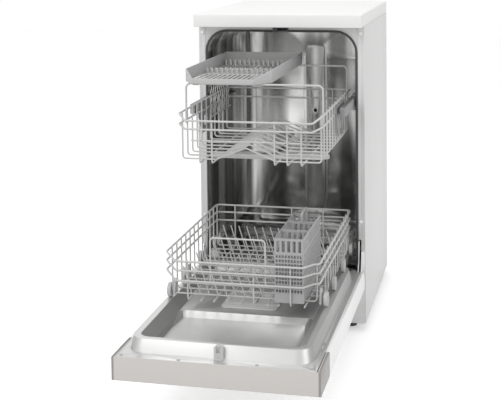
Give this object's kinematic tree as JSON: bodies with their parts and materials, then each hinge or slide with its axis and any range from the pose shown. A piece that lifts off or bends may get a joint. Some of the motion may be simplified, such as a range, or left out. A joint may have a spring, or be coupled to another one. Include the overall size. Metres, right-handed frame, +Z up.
{
  "type": "dishwasher",
  "caption": "Slimline dishwasher with a drop-down door held level, two wire racks on wheels and rails, a slotted basket and a sliding top tray.",
  "frame": {"origin": "on the floor, below the middle of the cabinet's front frame", "axes": "+X to the machine's right as one faces it, +Y back into the cabinet, +Z up"},
  "size_m": [0.448, 1.2891, 0.845],
  "materials": {
    "white_board": "satin laminate",
    "white_panel": "satin",
    "galvanised": "matte",
    "white_plastic": "matte",
    "dark_plastic": "matte",
    "stainless": "brushed",
    "gasket": "matte",
    "light_plastic": "matte",
    "weight": "matte",
    "hinge_steel": "satin",
    "spring_steel": "satin",
    "taupe_plastic": "satin",
    "cap_plastic": "satin",
    "window": "gloss",
    "button_plastic": "satin",
    "grey_plastic": "matte",
    "coated_wire": "satin nylon coat",
    "basket_plastic": "matte",
    "rail_steel": "satin"
  },
  "bodies": {
    "cabinet": {"worktop": "white_board", "side_panel_left": "white_panel", "side_panel_right": "white_panel", "screw_caps": "white_plastic", "front_frame": "white_panel", "kick_plate": "white_panel", "base_tray": "dark_plastic", "feet": "dark_plastic", "tub": "stainless", "tub_gasket": "gasket", "latch_catch": "dark_plastic", "back_panel": "galvanised", "sump": "light_plastic", "filter_plate": "stainless", "circulation_pump": "dark_plastic", "drain_pump": "dark_plastic", "inlet_valve": "light_plastic", "drain_outlet": "light_plastic", "counterweight": "weight", "hinge_brackets": "hinge_steel", "door_springs": "spring_steel", "rail_guides": "grey_plastic"},
    "door": {"door_outer_panel": "white_panel", "door_liner": "stainless", "door_screws": "spring_steel", "console": "taupe_plastic", "console_end_caps": "cap_plastic", "display_window": "window", "door_latch_hook": "grey_plastic", "dispenser": "light_plastic", "hinge_arms": "hinge_steel"},
    "dispenser_lid": {"dispenser_lid": "grey_plastic"},
    "rinse_cap": {"rinse_cap": "grey_plastic"},
    "button_1": {"button_1": "button_plastic"},
    "button_2": {"button_2": "button_plastic"},
    "button_3": {"button_3": "button_plastic"},
    "lower_rack": {"lower_rack_rims": "coated_wire", "lower_rack_wires": "coated_wire", "lower_rack_tines": "coated_wire", "lower_wheel_brackets": "grey_plastic"},
    "slotted_basket": {"slotted_basket": "basket_plastic"},
    "upper_rack": {"upper_rack_rims": "coated_wire", "upper_rack_wires": "coated_wire", "upper_rack_brackets": "grey_plastic", "upper_feed_pipe": "grey_plastic"},
    "upper_spray_arm": {"upper_spray_arm": "grey_plastic"},
    "top_tray": {"top_tray": "basket_plastic"},
    "rails": {"rails": "rail_steel"},
    "guide_rollers": {"guide_rollers": "grey_plastic"},
    "lower_spray_arm": {"lower_spray_arm": "grey_plastic"},
    "filter_cup": {"filter_cup": "light_plastic"},
    "salt_cap": {"salt_cap": "light_plastic"},
    "lower_wheels_1": {"lower_wheels_1": "grey_plastic"},
    "lower_wheels_2": {"lower_wheels_2": "grey_plastic"},
    "lower_wheels_3": {"lower_wheels_3": "grey_plastic"},
    "lower_wheels_4": {"lower_wheels_4": "grey_plastic"},
    "upper_rollers_1": {"upper_rollers_1": "grey_plastic"},
    "upper_rollers_2": {"upper_rollers_2": "grey_plastic"}
  },
  "joints": [
    {"name": "door_hinge", "type": "hinge", "parent": "cabinet", "child": "door", "pos_m": [0, -0.042, 0.129], "axis": [1, 0, 0], "range_deg": [0, 1.5]},
    {"name": "lower_rack_slide", "type": "slide", "parent": "cabinet", "child": "lower_rack", "axis": [0, -1, 0], "range_m": [-0.47, 0.24]},
    {"name": "upper_rack_slide", "type": "slide", "parent": "cabinet", "child": "upper_rack", "axis": [0, -1, 0], "range_m": [-0.394, 0.018]},
    {"name": "rail_slide", "type": "slide", "parent": "cabinet", "child": "rails", "axis": [0, -1, 0], "range_m": [-0.197, 0.009]},
    {"name": "guide_roller_spin", "type": "hinge", "parent": "cabinet", "child": "guide_rollers", "pos_m": [0, 0.04, 0.5917], "axis": [1, 0, 0], "continuous": true},
    {"name": "basket_lift", "type": "slide", "parent": "lower_rack", "child": "slotted_basket", "axis": [0, 0, 1], "range_m": [0, 0.09]},
    {"name": "tray_slide", "type": "slide", "parent": "upper_rack", "child": "top_tray", "axis": [1, 0, 0], "range_m": [0, 0.12]},
    {"name": "lower_spray_spin", "type": "hinge", "parent": "cabinet", "child": "lower_spray_arm", "pos_m": [0, 0.278, 0.182], "axis": [0, 0, 1], "continuous": true},
    {"name": "upper_spray_spin", "type": "hinge", "parent": "upper_rack", "child": "upper_spray_arm", "pos_m": [0, -0.148, 0.4925], "axis": [0, 0, 1], "continuous": true},
    {"name": "filter_cup_turn", "type": "hinge", "parent": "cabinet", "child": "filter_cup", "pos_m": [0, 0.214, 0.158], "axis": [0, 0, 1], "range_deg": [0, 60]},
    {"name": "salt_cap_turn", "type": "hinge", "parent": "cabinet", "child": "salt_cap", "pos_m": [0.112, 0.14, 0.16], "axis": [0, 0, 1], "range_deg": [0, 180]},
    {"name": "dispenser_slide", "type": "slide", "parent": "door", "child": "dispenser_lid", "axis": [1, 0, 0], "range_m": [0, 0.055]},
    {"name": "rinse_cap_turn", "type": "hinge", "parent": "door", "child": "rinse_cap", "pos_m": [0.039, -0.28, 0.18], "axis": [0, 0, 1], "range_deg": [0, 90]},
    {"name": "button_1_press", "type": "slide", "parent": "door", "child": "button_1", "axis": [0, 0, 1], "range_m": [0, 0.0015], "stiffness_N_per_m": 800, "springref_m": -0.001},
    {"name": "button_2_press", "type": "slide", "parent": "door", "child": "button_2", "axis": [0, 0, 1], "range_m": [0, 0.0015], "stiffness_N_per_m": 800, "springref_m": -0.001},
    {"name": "button_3_press", "type": "slide", "parent": "door", "child": "button_3", "axis": [0, 0, 1], "range_m": [0, 0.0015], "stiffness_N_per_m": 800, "springref_m": -0.001},
    {"name": "lower_wheel_spin_1", "type": "hinge", "parent": "lower_rack", "child": "lower_wheels_1", "pos_m": [-0.003, -0.401, 0.2143], "axis": [1, 0, 0], "continuous": true},
    {"name": "lower_wheel_spin_2", "type": "hinge", "parent": "lower_rack", "child": "lower_wheels_2", "pos_m": [-0.003, -0.282, 0.2143], "axis": [1, 0, 0], "continuous": true},
    {"name": "lower_wheel_spin_3", "type": "hinge", "parent": "lower_rack", "child": "lower_wheels_3", "pos_m": [-0.003, -0.13, 0.2143], "axis": [1, 0, 0], "continuous": true},
    {"name": "lower_wheel_spin_4", "type": "hinge", "parent": "lower_rack", "child": "lower_wheels_4", "pos_m": [-0.003, 0.02, 0.2143], "axis": [1, 0, 0], "continuous": true},
    {"name": "upper_roller_spin_1", "type": "hinge", "parent": "upper_rack", "child": "upper_rollers_1", "pos_m": [0, -0.16, 0.612], "axis": [1, 0, 0], "continuous": true},
    {"name": "upper_roller_spin_2", "type": "hinge", "parent": "upper_rack", "child": "upper_rollers_2", "pos_m": [0, -0.07, 0.612], "axis": [1, 0, 0], "continuous": true}
  ],
  "couplings": [
    {"joint": "rail_slide", "follows": "upper_rack_slide", "ratio": 0.5},
    {"joint": "guide_roller_spin", "follows": "upper_rack_slide", "rad_per_m": 62.5},
    {"joint": "lower_wheel_spin_1", "follows": "lower_rack_slide", "rad_per_m": 58.824},
    {"joint": "lower_wheel_spin_2", "follows": "lower_rack_slide", "rad_per_m": 58.824},
    {"joint": "lower_wheel_spin_3", "follows": "lower_rack_slide", "rad_per_m": 58.824},
    {"joint": "lower_wheel_spin_4", "follows": "lower_rack_slide", "rad_per_m": 58.824},
    {"joint": "upper_roller_spin_1", "follows": "upper_rack_slide", "rad_per_m": 49.02},
    {"joint": "upper_roller_spin_2", "follows": "upper_rack_slide", "rad_per_m": 49.02}
  ]
}
